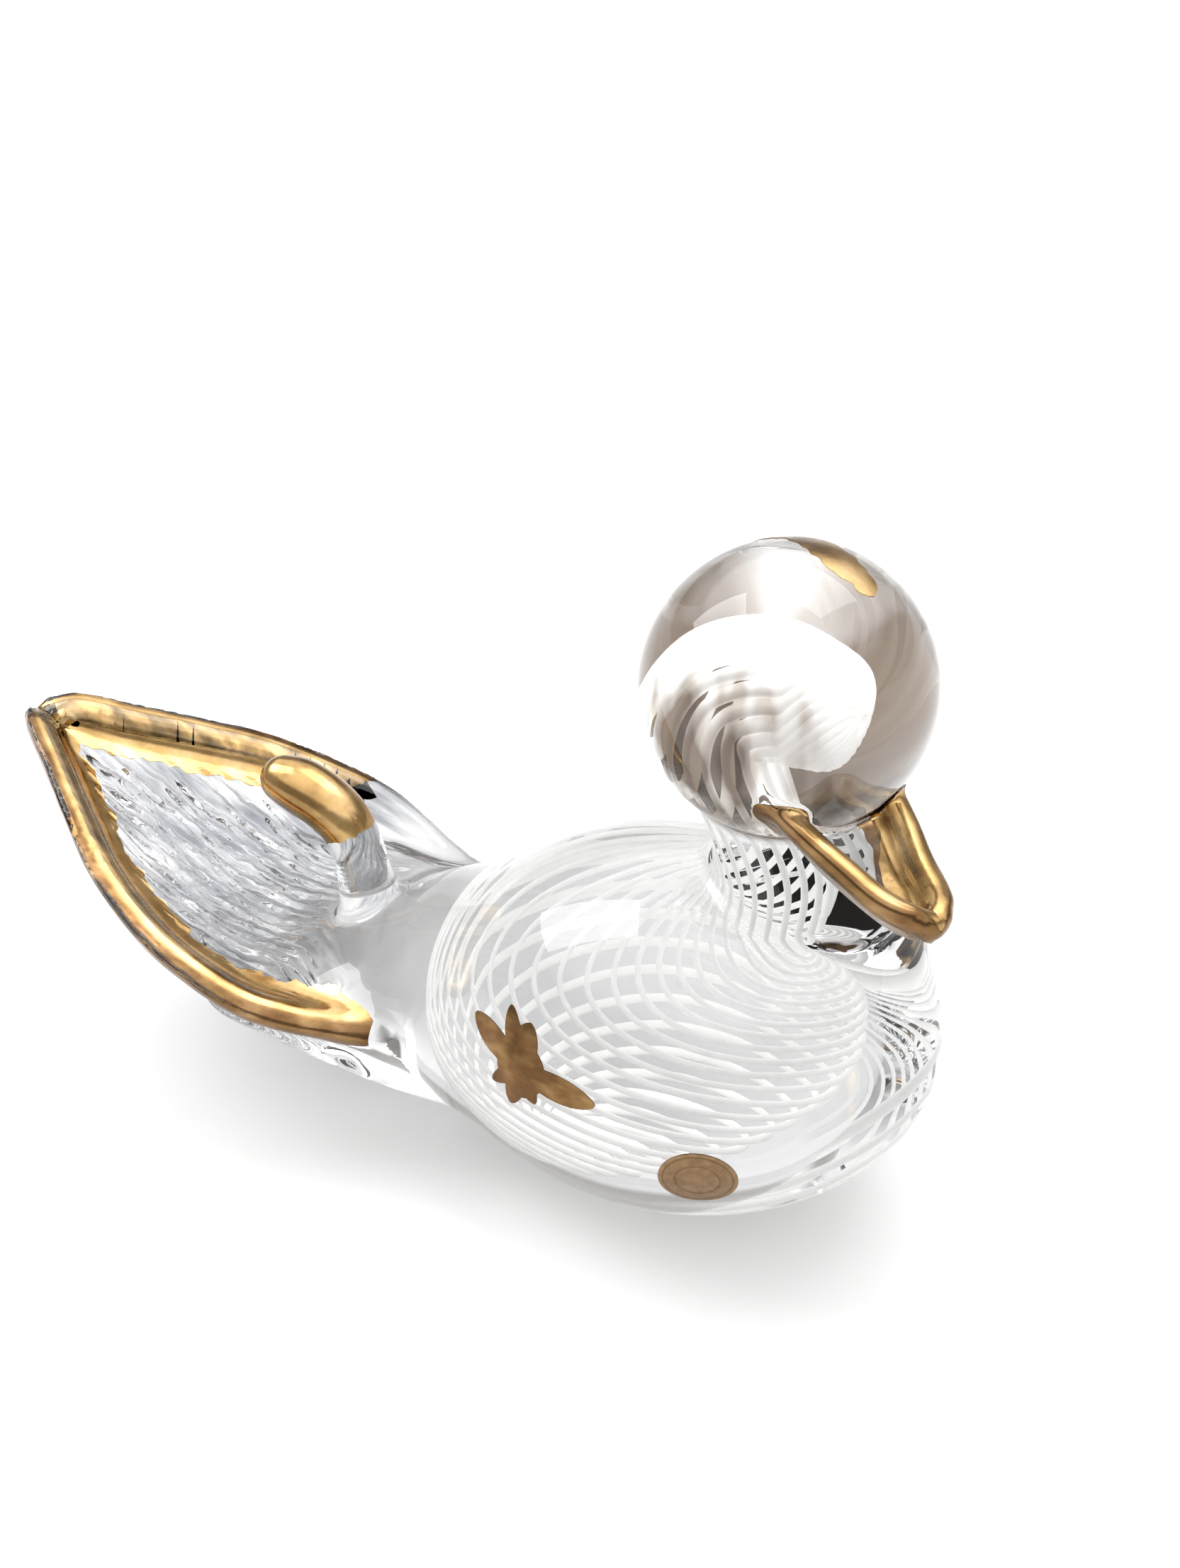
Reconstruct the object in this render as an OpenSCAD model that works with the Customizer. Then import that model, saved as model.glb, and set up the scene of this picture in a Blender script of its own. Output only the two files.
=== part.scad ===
// Hot-worked glass duck: white canes inside clear glass, gold lustre on the trim.
// The duck faces +X, its left side is +Y, and it rests on the flat ground under its body.

/* [Body] */
// Length of the egg-shaped body
body_l = 90; // [75:1:110]
// Width of the body
body_w = 67; // [56:1:80]
// Nose-up tilt of the body
body_tilt = 10; // [0:1:20]
// Depth of the ground flat under the body
rest_depth = 2; // [1:0.25:3]

/* [Head] */
// Diameter of the ball head
head_d = 42.4; // [34:0.2:51]
// Forward distance from the body's centre to the head's centre
head_x = 14.5; // [8:0.5:20]
// Rise from the body's centre to the head's centre
head_z = 63.7; // [55:0.1:76]
// Turn of the head to the duck's right
head_yaw = 38; // [0:1:60]
// Cock of the head, right side up
head_roll = 8; // [0:1:15]

/* [Filigree] */
// Number of white canes
cane_n = 20; // [10:1:24]
// Diameter of a cane
cane_d = 0.9; // [0.6:0.1:1.2]
// Turn of the canes round the body, from the neck's base to the pole of the core
cane_twist = 470; // [180:10:520]
// Diameter of the core where it ends inside the head
core_end_d = 15.4; // [11:0.2:18]
// Diameter of the core inside the body
core_d = 49; // [40:1:54]
// Clear glass over the core in the neck
neck_skin = 2.2; // [1.2:0.1:3]

/* [Tail] */
// Length of the tail from the rear of the body to its tip
tail_l = 90; // [70:1:110]
// Widest width of the tail
tail_w = 63; // [52:1:76]
// Diameter of the rounded rim
rim_d = 4.4; // [3.6:0.1:5.6]
// Height of the tail's tip above its root
tail_rise = 39.2; // [32:0.1:47]
// Number of ribs drawn along the tail
rib_n = 14; // [6:1:14]
// Height of the ribs
rib_h = 0.5; // [0.3:0.1:0.8]
// Diameter of the curl that stands on the tail
curl_d = 10.2; // [8:0.2:12.4]

/* [Bill] */
// Width of the bill where it leaves the head
bill_w = 21.6; // [16:0.2:26]
// Distance from the head's centre to the tip of the bill
bill_reach = 35.5; // [30:0.5:43]

/* [Trim] */
// Thickness that stands in for the lustre
gold_t = 0.25; // [0.15:0.05:0.4]
// Diameter of the foil label
label_d = 12; // [8:0.5:15]
// Length of the leaf motif on each side
motif_l = 24; // [18:0.5:30]
// Width of the gold stripe on the crown
stripe_w = 5.6; // [3:0.2:8]

/* [Hidden] */
CANES = [for (i = [1 : cane_n]) str("cane_", i < 10 ? "0" : "", i)];

CLEAR = [0.9, 0.93, 0.94, 0.45];
WHITE = [0.97, 0.97, 0.95];
GOLD = [0.72, 0.53, 0.24];
FOIL = [0.42, 0.3, 0.16];

seam = 0.05;
body_a = body_l / 2;
body_b = body_w / 2;
// Height from the body's centre to its lowest point, and how far that point lies behind the centre
body_h = sqrt(pow(body_a * sin(body_tilt), 2) + pow(body_b * cos(body_tilt), 2));
body_x = (body_a * body_a - body_b * body_b) * sin(body_tilt) * cos(body_tilt) / body_h;
body_z = body_h - rest_depth;
head_r = head_d / 2;
head_c = [body_x + head_x, 0, body_z + head_z];
core_end_r = core_end_d / 2;
core_r = core_d / 2;
cane_skin = 0.4;

// Clear glass of the neck, from the body into the head. Each row is forward and up from the
// body's centre, and radius.
neck_rows = [
    [-0.06 * body_a, 0.04 * body_b, core_r + neck_skin],
    [0.24 * body_a, 0.18 * body_b, 0.95 * core_r + neck_skin],
    [0.45 * body_a, 0.21 * head_z, 0.76 * core_r + neck_skin],
    [head_x + 0.42 * head_r, 0.36 * head_z, 0.57 * core_r + neck_skin],
    [head_x + 0.29 * head_r, 0.51 * head_z, 1.42 * core_end_r + neck_skin],
    [head_x + 0.04 * head_r, 0.65 * head_z, 1.07 * core_end_r + neck_skin],
    [head_x - 0.175 * head_r, 0.78 * head_z, core_end_r + neck_skin],
    [head_x - 0.32 * head_r, 0.88 * head_z, core_end_r + neck_skin]
];
neck_share = 0.6;
neck_last = len(neck_rows) - 1;

// The core, from its pole low in the body up the neck and into the head. Each row is forward and
// up from the body's centre, radius forward, radius sideways, and lean of the ring.
core_rows = [
    [-0.31 * body_a, -0.58 * body_b, 0.02 * core_r, 0.02 * core_r, 0],
    [-0.29 * body_a, -0.52 * body_b, 0.61 * core_r, 0.45 * core_r, 0],
    [-0.25 * body_a, -0.33 * body_b, 1.13 * core_r, 0.8 * core_r, 2],
    [-0.175 * body_a, -0.09 * body_b, 1.37 * core_r, 0.98 * core_r, 3],
    [-0.1 * body_a, 0.135 * body_b, 1.32 * core_r, 0.95 * core_r, 4],
    [0.02 * body_a, 0.315 * body_b, 1.08 * core_r, 0.8 * core_r, 4],
    [0.155 * body_a, 0.45 * body_b, 0.71 * core_r, 0.61 * core_r, 3],
    [0.255 * body_a, 0.58 * body_b, 0.46 * core_r, 0.44 * core_r, 2],
    [head_x + 0.03 * head_r, 0.41 * head_z, 1.15 * core_end_r, 1.15 * core_end_r, 8],
    [head_x + 0.08 * head_r, 0.53 * head_z, 1.02 * core_end_r, 1.02 * core_end_r, 20],
    [head_x - 0.05 * head_r, 0.66 * head_z, core_end_r, core_end_r, 28],
    [head_x - 0.22 * head_r, 0.78 * head_z, core_end_r, core_end_r, 25],
    [head_x - 0.32 * head_r, 0.88 * head_z, core_end_r, core_end_r, 10],
    [head_x - 0.26 * head_r, 0.965 * head_z, 0.95 * core_end_r, 0.95 * core_end_r, -40],
    [head_x - 0.07 * head_r, 0.995 * head_z, 0.9 * core_end_r, 0.9 * core_end_r, -80],
    [head_x + 0.12 * head_r, 0.985 * head_z, 0.82 * core_end_r, 0.82 * core_end_r, -95],
    [head_x + 0.28 * head_r, 0.97 * head_z, 0.66 * core_end_r, 0.66 * core_end_r, -100],
    [head_x + 0.325 * head_r, 0.965 * head_z, 0.12 * core_end_r, 0.12 * core_end_r, -100]
];
core_last = len(core_rows) - 1;
neck_base = 7.9;
tiny = 0.02;

// Catmull-Rom curve through rows of numbers, at position t counted in rows
function row(rows, i) = rows[max(0, min(len(rows) - 1, i))];
function curve(rows, t) =
    let (i = min(floor(t), len(rows) - 2), u = t - i,
        a = row(rows, i - 1), b = row(rows, i), c = row(rows, i + 1), d = row(rows, i + 2))
    0.5 * (2 * b + (c - a) * u + (2 * a - 5 * b + 4 * c - d) * u * u
        + (3 * b - a - 3 * c + d) * u * u * u);
function unit(v) = v / norm(v);
function samples(a, b, n) = [for (i = [0 : n]) a + (b - a) * i / n];

// A point on the core's surface, at t rows and angle phi, grown by extra
function on_core(t, phi, extra) = let (r = curve(core_rows, t))
    [body_x + r[0], 0, body_z + r[1]]
    + max(tiny, r[2] + extra) * cos(phi) * [cos(r[4]), 0, sin(r[4])]
    + max(tiny, r[3] + extra) * sin(phi) * [0, 1, 0];

// A closed solid through equal rings of points, ring by ring
module loft(rings) {
    n = len(rings[0]);
    m = len(rings);
    sides = [for (i = [0 : m - 2], j = [0 : n - 1])
        let (k = (j + 1) % n) each [
            [i * n + j, (i + 1) * n + k, i * n + k],
            [i * n + j, (i + 1) * n + j, (i + 1) * n + k]]];
    start = [[for (j = [0 : n - 1]) j]];
    stop = [[for (j = [n - 1 : -1 : 0]) (m - 1) * n + j]];
    polyhedron([for (r = rings) each r], concat(sides, start, stop), convexity = 6);
}

// A closed skin between two grids of points of the same shape
module skin(under, over) {
    m = len(under);
    n = len(under[0]);
    all = m * n;
    edge = concat([for (j = [0 : n - 2]) [j, j + 1]],
        [for (i = [0 : m - 2]) [i * n + n - 1, (i + 1) * n + n - 1]],
        [for (j = [n - 1 : -1 : 1]) [(m - 1) * n + j, (m - 1) * n + j - 1]],
        [for (i = [m - 1 : -1 : 1]) [i * n, (i - 1) * n]]);
    top = [for (i = [0 : m - 2], j = [0 : n - 2]) each [
        [all + i * n + j, all + i * n + j + 1, all + (i + 1) * n + j + 1],
        [all + i * n + j, all + (i + 1) * n + j + 1, all + (i + 1) * n + j]]];
    bottom = [for (i = [0 : m - 2], j = [0 : n - 2]) each [
        [i * n + j, (i + 1) * n + j + 1, i * n + j + 1],
        [i * n + j, (i + 1) * n + j, (i + 1) * n + j + 1]]];
    wall = [for (e = edge) each [[e[0], e[1], all + e[1]], [e[0], all + e[1], all + e[0]]]];
    polyhedron(concat([for (r = under) each r], [for (r = over) each r]),
        concat(top, bottom, wall), convexity = 6);
}

module egg(extra, sides) {
    translate([body_x, 0, body_z])
        rotate([0, -body_tilt, 0])
            scale([body_a + extra, body_b + extra, body_b + extra])
                sphere(1, $fn = sides);
}

module head_ball_space(sides) {
    translate(head_c)
        sphere(head_r + seam, $fn = sides);
}

module core_tube(extra) {
    loft([for (t = samples(0, core_last, 34))
        [for (phi = samples(0, 342, 19)) on_core(t, phi, extra)]]);
}

module neck(extra) {
    steps = samples(neck_share, neck_last, 14);
    for (i = [0 : len(steps) - 2])
        hull()
            for (t = [steps[i], steps[i + 1]])
                let (r = curve(neck_rows, t))
                    translate([body_x + r[0], 0, body_z + r[1]])
                        sphere(r[2] + extra, $fn = 24);
}

module casing() {
    color(CLEAR)
        difference() {
            union() {
                egg(0, 44);
                neck(0);
            }
            core_tube(seam);
            head_ball_space(60);
            translate([0, 0, -body_w])
                cube([4 * body_l, 2 * body_w, 2 * body_w], center = true);
        }
}

module core() {
    color(CLEAR)
        core_tube(0);
}

// Turn of a cane at t rows: none in the neck, and all of it in the body
function cane_turn(t) = cane_twist * pow(max(0, 1 - t / neck_base), 1.1);

module cane(i) {
    path = [for (t = samples(0.5, core_last - 0.8, 46))
        on_core(t, 360 * i / cane_n + cane_turn(t), -cane_skin - cane_d / 2)];
    last = len(path) - 1;
    color(WHITE)
        loft([for (k = [0 : last])
            let (d = unit(path[min(k + 1, last)] - path[max(k - 1, 0)]),
                u = unit(cross(d, [0, 1, 0.3])), v = cross(d, u))
            [for (a = samples(0, 270, 3)) path[k] + cane_d / 2 * (cos(a) * u + sin(a) * v)]]);
}

module in_head() {
    translate(head_c)
        rotate([-head_roll, 0, -head_yaw])
            children();
}

module head_ball() {
    color(CLEAR)
        difference() {
            translate(head_c)
                sphere(head_r, $fn = 96);
            core_tube(seam);
        }
}

// Boat-shaped section of the tail and the bill: a rim at each side, a floor between, a keel below.
// Each row is forward, half width, rim height, floor height, keel height. A skin over it is
// lifted straight up on the floor and at the rims, and outwards below them.
function lift(a) = let (b = atan2(sin(a), abs(cos(a)))) b >= 0 ? 90 : max(b, 90 + 4 * b);
function boat(r, a, extra) = [r[0],
    r[1] * cos(a) + extra * sign(cos(a)) * cos(lift(a)),
    r[2] + (sin(a) > 0 ? r[3] - r[2] : r[2] - r[4]) * sin(a) + extra * sin(lift(a))];
function boat_ring(r, from, to, n, extra) = [for (a = samples(from, to, n)) boat(r, a, extra)];

// Shares of the bill's reach, its width, and three of the head's radius
bill_rows = [
    [0.2, 0.46, -0.425, -0.52, -0.78],
    [0.38, 0.49, -0.49, -0.65, -0.88],
    [0.56, 0.42, -0.595, -0.755, -0.96],
    [0.73, 0.32, -0.7, -0.82, -1.01],
    [0.87, 0.25, -0.765, -0.845, -1.015],
    [0.96, 0.16, -0.8, -0.84, -0.98],
    [1, 0.05, -0.83, -0.84, -0.925]
];
bill_last = len(bill_rows) - 1;
function bill_row(t) = let (r = curve(bill_rows, t))
    [bill_reach * r[0], bill_w * r[1], head_r * r[2], head_r * r[3], head_r * r[4]];

module bill() {
    color(CLEAR)
        difference() {
            in_head()
                loft([for (t = samples(0, bill_last, 15)) boat_ring(bill_row(t), 0, 345, 23, 0)]);
            head_ball_space(96);
            neck(seam);
        }
}

// The lustre wraps the rims and the keel, and leaves a clear wedge on the floor near the head
module bill_gold() {
    places = samples(2, bill_last - 0.05, 10);
    // The wrap from the keel to each side grows from just over the rim until it closes the floor
    function ring(t, extra) = let (wrap = min(170, 108 + 26 * (t - 2)))
        boat_ring(bill_row(t), 270 + wrap, 270 - wrap, 20, extra);
    color(GOLD)
        in_head()
            skin([for (t = places) ring(t, seam)], [for (t = places) ring(t, seam + gold_t)]);
}

// The crown stripe is a strip of lustre along the top of the ball, narrow at both ends
module crown_gold() {
    stripe_span = 36;
    lean = samples(-stripe_span, stripe_span - 2, 16);
    function half(a) = stripe_w / 2 * sqrt(max(tiny, 1 - pow((a + 1) / stripe_span, 4)));
    function at(a, y, r) = let (b = asin(y / r)) r * [sin(a) * cos(b), sin(b), cos(a) * cos(b)];
    function strip(r) = [for (a = lean) [for (s = [-1 : 0.5 : 1]) at(a, s * half(a), r)]];
    color(GOLD)
        in_head()
            skin(strip(head_r + seam), strip(head_r + seam + gold_t));
}

// The tail, from inside the body to the tip. Each row is a share of the tail's length forward of
// its root, the half width, and three heights above the root: rim, floor and keel. The root
// follows the body's width, and the blade its own.
tail_root_x = body_x - body_a;
tail_root_z = body_z - 0.26 * body_b;
tail_rows = [
    [0.25, 0.75 * body_b, 0.21 * body_b, 0.865 * body_b, -0.595 * body_b],
    [0.14, 0.715 * body_b, 0.21 * body_b, 0.79 * body_b, -0.58 * body_b],
    [0.02, 0.725 * body_b, 0.21 * body_b, 0.685 * body_b, -0.565 * body_b],
    [-0.08, 0.78 * body_b, 0.215 * body_b, 0.535 * body_b, -0.535 * body_b],
    [-0.17, 0.455 * tail_w, 0.255 * body_b, 0.4 * body_b, -0.415 * body_b],
    [-0.255, 0.49 * tail_w, 0.29 * tail_rise, 0.27 * tail_rise, -0.23 * tail_rise],
    [-0.35, 0.5 * tail_w, 0.405 * tail_rise, 0.24 * tail_rise, -0.065 * tail_rise],
    [-0.46, 0.475 * tail_w, 0.51 * tail_rise, 0.32 * tail_rise, 0.14 * tail_rise],
    [-0.6, 0.4 * tail_w, 0.665 * tail_rise, 0.47 * tail_rise, 0.33 * tail_rise],
    [-0.73, 0.285 * tail_w, 0.795 * tail_rise, 0.64 * tail_rise, 0.51 * tail_rise],
    [-0.85, 0.17 * tail_w, 0.915 * tail_rise, 0.805 * tail_rise, 0.69 * tail_rise],
    [-0.94, 0.085 * tail_w, tail_rise, 0.945 * tail_rise, 0.82 * tail_rise],
    [-0.99, 0.02 * tail_w, 0.98 * tail_rise, 0.96 * tail_rise, 0.895 * tail_rise]
];
function tail_row(t) = let (r = curve(tail_rows, t), z = tail_root_z)
    [tail_root_x + tail_l * r[0], r[1], z + r[2], z + r[3], z + r[4]];
rib_from = 5;
rim_from = 2.2;
rim_to = len(tail_rows) - 1;
function rim_r(t) = rim_d / 2 * min(1, 0.8 + 0.1 * (t - rim_from));
function rim_point(t, side) = let (r = tail_row(t)) [r[0], side * (r[1] - rim_d * 0.15), r[2]];

// Every second point across the floor is raised into a rib, lower towards the rims and the tip
function tail_ring(t) = let (r = tail_row(t), fade = t > rib_from ? min(1, r[1] / (0.2 * tail_w)) : 0)
    concat([for (k = [0 : 2 * rib_n - 1]) let (a = 90 * k / rib_n)
            boat(r, a, 0) + [0, 0, (k % 2) * fade * rib_h * sin(a)]],
        boat_ring(r, 180, 342, 9, 0));

module tail_fan() {
    rim = samples(rim_from, rim_to, 16);
    color(CLEAR)
        difference() {
            union() {
                loft([for (t = samples(rim_to, 0, 32)) tail_ring(t)]);
                for (side = [-1, 1], i = [0 : len(rim) - 2])
                    hull()
                        for (t = [rim[i], rim[i + 1]])
                            translate(rim_point(t, side))
                                sphere(rim_r(t), $fn = 12);
            }
            egg(seam, 44);
            core_tube(seam);
        }
}

// The rim's path runs from the right root (-1) round the tip (0) to the left root (1)
function rim_t(s) = rim_to - abs(s) * (rim_to - rim_from);
function rim_path(s) = rim_point(rim_t(s), s < 0 ? -1 : 1);
function rim_film(s, extra) =
    let (d = unit(rim_path(min(1, s + 0.02)) - rim_path(max(-1, s - 0.02))),
        out = unit(cross(d, [0, 0, -1])), up = cross(out, d))
    [for (a = samples(-80, 80, 6)) rim_path(s) + (rim_r(rim_t(s)) + extra) * (cos(a) * out + sin(a) * up)];

// The lustre on the rim starts nearer the body on the right side than on the left
module tail_rim_gold() {
    places = samples(-0.98, 0.57, 40);
    color(GOLD)
        skin([for (s = places) rim_film(s, seam)],
            [for (s = places) rim_film(s, seam + gold_t)]);
}

// The curl is a stub of rod drawn up and back from the tail's root: shares of the tail's length
// back, of its rise and of the curl's own radius
curl_rows = [
    [-0.165, 0.205, 1.45],
    [-0.17, 0.355, 1.2],
    [-0.18, 0.51, 1],
    [-0.19, 0.665, 0.92],
    [-0.215, 0.79, 0.96],
    [-0.26, 0.88, 1],
    [-0.31, 0.93, 1],
    [-0.35, 0.955, 0.86]
];
curl_last = len(curl_rows) - 1;
function curl_at(t) = let (r = curve(curl_rows, t))
    [tail_root_x + tail_l * r[0], 0, tail_root_z + tail_rise * r[1]];

module curl_chain(from, steps, extra) {
    at = samples(from, curl_last, steps);
    for (i = [0 : steps - 1])
        hull()
            for (t = [at[i], at[i + 1]])
                translate(curl_at(t))
                    sphere(curl_d / 2 * curve(curl_rows, t)[2] + extra, $fn = 14);
}

module tail_curl() {
    color(CLEAR)
        difference() {
            curl_chain(0, 9, 0);
            loft([for (t = samples(7, 0, 24)) tail_ring(t)]);
        }
}

// The lustre is a sock over the upper end of the curl
module curl_gold() {
    sock_from = 3.7;
    color(GOLD)
        difference() {
            curl_chain(sock_from, 6, seam + gold_t);
            curl_chain(sock_from - 1, 9, seam);
            curl_chain(0, 9, seam);
        }
}

// A point on the egg in the direction p, in the egg's own frame, raised by extra
function on_egg(p, extra) = let (d = unit(p))
    d * (1 / norm([d[0] / body_a, d[1] / body_b, d[2] / body_b]) + extra);

// A thin patch on the egg round the direction c, whose edge is reach(angle) from its middle
module patch(c, reach, thick) {
    p = on_egg(c, 0);
    u = unit(cross([0, 0, 1], p));
    v = unit(cross(p, u));
    function ring(share, extra) = [for (i = [0 : len(reach) - 1])
        let (a = 360 * i / len(reach), r = share * reach[i])
        on_egg(p + r * (cos(a) * u + sin(a) * v), extra)];
    translate([body_x, 0, body_z])
        rotate([0, -body_tilt, 0])
            loft(concat([for (k = [0.05, 0.35, 0.7, 1]) ring(k, seam)],
                [for (k = [1, 0.7, 0.35, 0.05]) ring(k, seam + thick)]));
}

// A leaf motif: lobes of [angle, length, half spread] on a small heart, as shares of its length
leaf_lobes = [
    [154, 0.52, 26],
    [112, 0.42, 24],
    [84, 0.33, 50],
    [-8, 0.62, 24],
    [-60, 0.25, 40],
    [-108, 0.3, 38],
    [-146, 0.3, 28]
];
leaf_heart = 0.2;
function turn(a) = abs(((a % 360) + 540) % 360 - 180);
function leaf_reach(a) = motif_l * max([leaf_heart, for (l = leaf_lobes)
    l[1] * exp(-pow(turn(a - l[0]) / l[2], 1.5))]);
motif_place = [-0.29 * body_a, -0.91 * body_b, 0.28 * body_b];
label_place = [0.4, -0.9, -0.18];

module motif() {
    color(GOLD)
        patch(motif_place, [for (a = [0 : 10 : 350]) leaf_reach(a)], gold_t);
}

module motif_right_gold() {
    motif();
}

module motif_left_gold() {
    mirror([0, 1, 0])
        motif();
}

module foil_label() {
    color(FOIL)
        patch(label_place, [for (a = [0 : 18 : 342]) label_d / 2], gold_t);
}

casing();
core();
for (i = [1 : cane_n])
    cane(i);
head_ball();
bill();
bill_gold();
crown_gold();
tail_fan();
tail_rim_gold();
tail_curl();
curl_gold();
motif_right_gold();
motif_left_gold();
foil_label();
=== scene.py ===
"""Hot-worked glass duck: one fused clear skin, white canes inside, gold lustre and a foil sticker outside."""
import bpy
import math
import numpy as np
from mathutils import Matrix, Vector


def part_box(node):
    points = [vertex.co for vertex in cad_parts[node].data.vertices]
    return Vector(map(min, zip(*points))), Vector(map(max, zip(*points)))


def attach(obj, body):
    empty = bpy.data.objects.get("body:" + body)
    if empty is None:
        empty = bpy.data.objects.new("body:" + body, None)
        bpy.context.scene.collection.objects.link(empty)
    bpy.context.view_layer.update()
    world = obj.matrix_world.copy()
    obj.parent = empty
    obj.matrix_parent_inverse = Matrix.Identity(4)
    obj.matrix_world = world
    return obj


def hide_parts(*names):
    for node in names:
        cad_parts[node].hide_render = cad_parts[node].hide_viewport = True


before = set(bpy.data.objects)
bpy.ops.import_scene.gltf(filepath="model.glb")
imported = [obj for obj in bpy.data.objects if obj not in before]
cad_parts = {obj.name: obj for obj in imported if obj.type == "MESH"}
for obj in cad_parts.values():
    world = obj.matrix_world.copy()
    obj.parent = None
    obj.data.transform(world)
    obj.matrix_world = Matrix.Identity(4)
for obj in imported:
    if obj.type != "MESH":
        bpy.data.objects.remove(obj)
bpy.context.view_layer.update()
MM = 0.001

# ---------------------------------------------------------------- sizes, in millimetres
casing_low, casing_high = (np.array(c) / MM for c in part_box("casing"))
head_low, head_high = (np.array(c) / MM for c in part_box("head_ball"))
BODY_A = 45.0
BODY_B = (casing_high[1] - casing_low[1]) / 2
BODY_TILT = math.radians(10)
REST_DEPTH = 2.0  # how far the egg is cut by the floor
BODY_H = math.hypot(BODY_A * math.sin(BODY_TILT), BODY_B * math.cos(BODY_TILT))
BODY_X = (BODY_A ** 2 - BODY_B ** 2) * math.sin(BODY_TILT) * math.cos(BODY_TILT) / BODY_H
BODY = np.array([BODY_X, 0.0, BODY_H - REST_DEPTH])
HEAD_R = 21.2
HEAD = np.array([head_low[0] + HEAD_R, 0.0, head_high[2] - HEAD_R])
HEAD_YAW = math.radians(-38)
HEAD_ROLL = math.radians(-8)
HEAD_X = HEAD[0] - BODY[0]
HEAD_RISE = HEAD[2] - BODY[2]
CORE_R = 24.5
CORE_END_R = 7.7
NECK_SKIN = 2.2
CANE_N = 20
CANE_R = 0.45
CANE_DEPTH = 0.9
CANE_TWIST = math.radians(470)
NECK_BASE = 7.9
TAIL_L = 90.0
TAIL_W = 63.0
TAIL_ROOT = np.array([BODY_X - BODY_A, 0.0, BODY[2] - 0.26 * BODY_B])
RIM_R = 2.2
RIB_PITCH = 2.8
RIB_H = 0.5
RIB_START = 0.24  # share of TAIL_L behind the root where the ribs begin
RIB_RIM_GAP = 4.5  # plain glass between the ribs and the rim's rod
RIB_FADE = 10.0
CURL_R = 5.1
CURL_GOLD_FROM = 3.7  # rows of CURL_ROWS
BILL_W = 21.6
BILL_REACH = 35.5
BILL_ROD = 1.35
GOLD_OUT = 0.10
GOLD_IN = 0.12
SHADED_GOLD = 0.14  # painted shade level of the lustre under the bill, where it is painted brown
CROWN_HALF = 2.8
RIM_BAND = 7.5  # how far the rim gold comes in over the tail's floor

# Neck: forward and up from the body's centre, radius of the clear glass
NECK_ROWS = np.array([
    [-0.06 * BODY_A, 0.04 * BODY_B, CORE_R + NECK_SKIN],
    [0.24 * BODY_A, 0.18 * BODY_B, 0.95 * CORE_R + NECK_SKIN],
    [0.45 * BODY_A, 0.21 * HEAD_RISE, 0.76 * CORE_R + NECK_SKIN],
    [HEAD_X + 0.42 * HEAD_R, 0.36 * HEAD_RISE, 0.57 * CORE_R + NECK_SKIN],
    [HEAD_X + 0.29 * HEAD_R, 0.51 * HEAD_RISE, 1.42 * CORE_END_R + NECK_SKIN],
    [HEAD_X + 0.04 * HEAD_R, 0.65 * HEAD_RISE, 1.07 * CORE_END_R + NECK_SKIN],
    [HEAD_X - 0.175 * HEAD_R, 0.78 * HEAD_RISE, CORE_END_R + NECK_SKIN],
    [HEAD_X - 0.32 * HEAD_R, 0.88 * HEAD_RISE, CORE_END_R + NECK_SKIN]])

# Core: forward, up, radius forward, radius sideways, lean of the ring in degrees
CORE_ROWS = np.array([
    [-0.31 * BODY_A, -0.58 * BODY_B, 0.02 * CORE_R, 0.02 * CORE_R, 0],
    [-0.29 * BODY_A, -0.52 * BODY_B, 0.61 * CORE_R, 0.45 * CORE_R, 0],
    [-0.25 * BODY_A, -0.33 * BODY_B, 1.13 * CORE_R, 0.80 * CORE_R, 2],
    [-0.175 * BODY_A, -0.09 * BODY_B, 1.37 * CORE_R, 0.98 * CORE_R, 3],
    [-0.10 * BODY_A, 0.135 * BODY_B, 1.32 * CORE_R, 0.95 * CORE_R, 4],
    [0.02 * BODY_A, 0.315 * BODY_B, 1.08 * CORE_R, 0.80 * CORE_R, 4],
    [0.155 * BODY_A, 0.45 * BODY_B, 0.71 * CORE_R, 0.61 * CORE_R, 3],
    [0.255 * BODY_A, 0.58 * BODY_B, 0.46 * CORE_R, 0.44 * CORE_R, 2],
    [HEAD_X + 0.03 * HEAD_R, 0.41 * HEAD_RISE, 1.15 * CORE_END_R, 1.15 * CORE_END_R, 8],
    [HEAD_X + 0.08 * HEAD_R, 0.53 * HEAD_RISE, 1.02 * CORE_END_R, 1.02 * CORE_END_R, 20],
    [HEAD_X - 0.05 * HEAD_R, 0.66 * HEAD_RISE, CORE_END_R, CORE_END_R, 28],
    [HEAD_X - 0.22 * HEAD_R, 0.78 * HEAD_RISE, CORE_END_R, CORE_END_R, 25],
    [HEAD_X - 0.32 * HEAD_R, 0.88 * HEAD_RISE, CORE_END_R, CORE_END_R, 10],
    [HEAD_X - 0.26 * HEAD_R, 0.965 * HEAD_RISE, 0.95 * CORE_END_R, 0.95 * CORE_END_R, -40],
    [HEAD_X - 0.07 * HEAD_R, 0.995 * HEAD_RISE, 0.90 * CORE_END_R, 0.90 * CORE_END_R, -80],
    [HEAD_X + 0.12 * HEAD_R, 0.985 * HEAD_RISE, 0.82 * CORE_END_R, 0.82 * CORE_END_R, -95],
    [HEAD_X + 0.28 * HEAD_R, 0.97 * HEAD_RISE, 0.66 * CORE_END_R, 0.66 * CORE_END_R, -100],
    [HEAD_X + 0.325 * HEAD_R, 0.965 * HEAD_RISE, 0.12 * CORE_END_R, 0.12 * CORE_END_R, -100]])
NECK_SHARE = 0.6

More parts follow.
